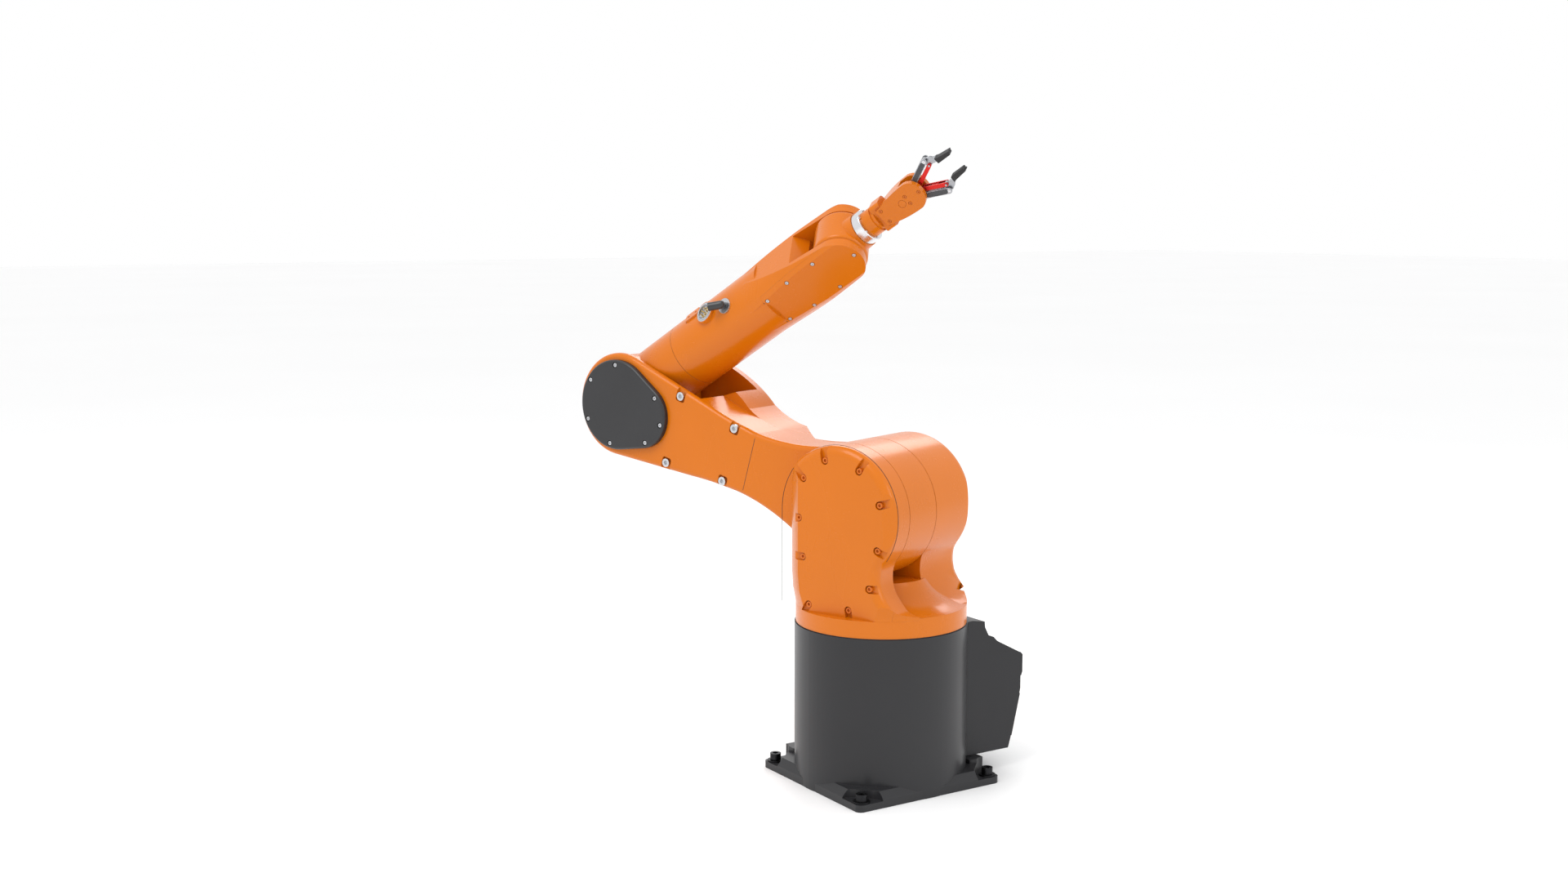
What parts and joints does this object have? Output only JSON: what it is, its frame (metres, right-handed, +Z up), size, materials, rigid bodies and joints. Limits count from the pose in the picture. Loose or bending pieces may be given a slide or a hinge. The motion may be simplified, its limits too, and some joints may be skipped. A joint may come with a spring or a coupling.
{
  "type": "six-axis robot arm with two-finger gripper",
  "caption": "Articulated robot arm on a round base with rear connector box, folded link and forearm, and a parallel linkage gripper.",
  "frame": {"origin": "turntable axis at the underside of the foot plate, with +Z up", "axes": "+Z up along the turntable axis; +X away from the rear connector box, square to the foot plate's front edge; the arm stands turned 111 degrees from +X"},
  "size_m": [0.481, 0.6469, 0.9097],
  "materials": {
    "orange_paint": "glossy orange paint on cast aluminium, light orange peel",
    "base_paint": "satin anthracite paint on cast aluminium",
    "box_paint": "satin anthracite paint on folded sheet and casting",
    "dark_cover": "semi-matt near-black moulded cover",
    "bolt_steel": "bright zinc-plated steel screws",
    "orange_screws": "steel screws painted over with the casting",
    "black_steel": "black oxide steel",
    "flange_silver": "turned bare aluminium with fine lathe lines",
    "connector_metal": "nickel-plated connector shells",
    "contact_brass": "gold-coloured contact pins",
    "motor_housing": "black anodised motor and gear housings",
    "bearing_steel": "ground bearing steel",
    "link_grey": "grey anodised aluminium links",
    "link_red": "red anodised aluminium links",
    "link_cover_dark": "dark moulded cover strips",
    "pad_rubber": "black rubber finger pads",
    "plug_black": "black moulded elbow fitting"
  },
  "bodies": {
    "base": {"base_casting": "base_paint", "foot_bolts": "black_steel", "foot_washers": "black_steel", "connector_box": "box_paint", "connector_panel": "box_paint", "panel_screws": "bolt_steel", "air_couplings": "connector_metal", "signal_connector": "connector_metal", "power_connector": "connector_metal", "axis1_gear_unit": "motor_housing", "axis1_motor": "motor_housing", "slewing_ring_outer": "bearing_steel"},
    "turntable": {"slewing_ring_inner": "bearing_steel", "rotating_column": "orange_paint", "shoulder_housing": "orange_paint", "shoulder_cover": "orange_paint", "shoulder_cover_screws": "orange_screws", "axis2_gear_unit": "motor_housing", "axis2_motor": "motor_housing", "motor_cap": "orange_paint", "motor_cap_screws": "bolt_steel"},
    "link": {"link_arm": "orange_paint", "link_side_plate": "orange_paint", "plate_bolts": "bolt_steel", "elbow_cover": "dark_cover", "elbow_cover_screws": "bolt_steel", "elbow_bearing_cap": "dark_cover", "bearing_cap_screws": "bolt_steel", "axis3_motor": "motor_housing"},
    "elbow": {"elbow_housing": "orange_paint", "axis3_gear_unit": "motor_housing", "axis4_drive": "motor_housing"},
    "forearm": {"forearm_casting": "orange_paint", "ear_cover_near": "orange_paint", "ear_cover_far": "orange_paint", "ear_cover_screws": "bolt_steel", "round_connector": "connector_metal", "connector_pins": "contact_brass", "air_port": "connector_metal", "air_elbow": "plug_black", "valve_plate": "orange_paint", "axis5_motor": "motor_housing"},
    "wrist": {"wrist_housing": "orange_paint"},
    "tool": {"tool_flange": "flange_silver", "gripper_coupling": "orange_paint", "gripper_body": "orange_paint", "gripper_side_near": "orange_paint", "gripper_side_far": "orange_paint", "gripper_screws": "orange_screws", "finger_pins": "bolt_steel"},
    "upper_outer": {"upper_outer_link": "link_grey", "upper_link_cover": "link_cover_dark"},
    "upper_inner": {"upper_inner_link": "link_red"},
    "upper_tip": {"upper_fingertip": "link_grey", "upper_pad": "pad_rubber"},
    "lower_outer": {"lower_outer_link": "link_grey", "lower_link_cover": "link_cover_dark"},
    "lower_inner": {"lower_inner_link": "link_red"},
    "lower_tip": {"lower_fingertip": "link_grey", "lower_pad": "pad_rubber"}
  },
  "joints": [
    {"name": "axis1_turn", "type": "hinge", "parent": "base", "child": "turntable", "pos_m": [0, 0, 0.24], "axis": [0, 0, 1], "range_deg": [-281.27, 58.73]},
    {"name": "axis2_shoulder", "type": "hinge", "parent": "turntable", "child": "link", "pos_m": [0.00363, -0.00932, 0.4], "axis": [-0.9319, -0.3628, 0], "range_deg": [-26, 118]},
    {"name": "axis3_elbow", "type": "hinge", "parent": "link", "child": "elbow", "pos_m": [0.16229, -0.4169, 0.52541], "axis": [0.9319, 0.3628, 0], "range_deg": [-6, 240]},
    {"name": "axis4_roll", "type": "hinge", "parent": "elbow", "child": "forearm", "pos_m": [0.16497, -0.42377, 0.53731], "axis": [-0.3083, 0.792, 0.527], "range_deg": [-231.5, 138.5]},
    {"name": "axis5_wrist", "type": "hinge", "parent": "forearm", "child": "wrist", "pos_m": [0.02623, -0.06738, 0.77444], "axis": [-0.5028, -0.6059, 0.6165], "range_deg": [-120, 120]},
    {"name": "axis6_flange", "type": "hinge", "parent": "wrist", "child": "tool", "pos_m": [0.00835, -0.02144, 0.80501], "axis": [-0.3083, 0.792, 0.527], "range_deg": [-336, 336]},
    {"name": "upper_outer_swing", "type": "hinge", "parent": "tool", "child": "upper_outer", "pos_m": [-0.01357, 0.05412, 0.86649], "axis": [0.6832, 0.5698, -0.4566], "range_deg": [-21, 20]},
    {"name": "upper_inner_swing", "type": "hinge", "parent": "tool", "child": "upper_inner", "pos_m": [-0.02015, 0.05768, 0.8611], "axis": [0.6832, 0.5698, -0.4566], "range_deg": [-21, 20]},
    {"name": "upper_tip_level", "type": "hinge", "parent": "upper_outer", "child": "upper_tip", "pos_m": [-0.01386, 0.0756, 0.89287], "axis": [0.6832, 0.5698, -0.4566], "range_deg": [-20, 21]},
    {"name": "lower_outer_swing", "type": "hinge", "parent": "tool", "child": "lower_outer", "pos_m": [-0.03078, 0.05982, 0.84786], "axis": [-0.6832, -0.5698, 0.4566], "range_deg": [-21, 20]},
    {"name": "lower_inner_swing", "type": "hinge", "parent": "tool", "child": "lower_inner", "pos_m": [-0.02544, 0.05943, 0.85536], "axis": [-0.6832, -0.5698, 0.4566], "range_deg": [-21, 20]},
    {"name": "lower_tip_level", "type": "hinge", "parent": "lower_outer", "child": "lower_tip", "pos_m": [-0.04961, 0.08744, 0.85416], "axis": [-0.6832, -0.5698, 0.4566], "range_deg": [-20, 21]}
  ],
  "couplings": [
    {"joint": "upper_inner_swing", "follows": "upper_outer_swing", "ratio": 1},
    {"joint": "upper_tip_level", "follows": "upper_outer_swing", "ratio": -1},
    {"joint": "lower_outer_swing", "follows": "upper_outer_swing", "ratio": 1},
    {"joint": "lower_inner_swing", "follows": "upper_outer_swing", "ratio": 1},
    {"joint": "lower_tip_level", "follows": "upper_outer_swing", "ratio": -1}
  ]
}
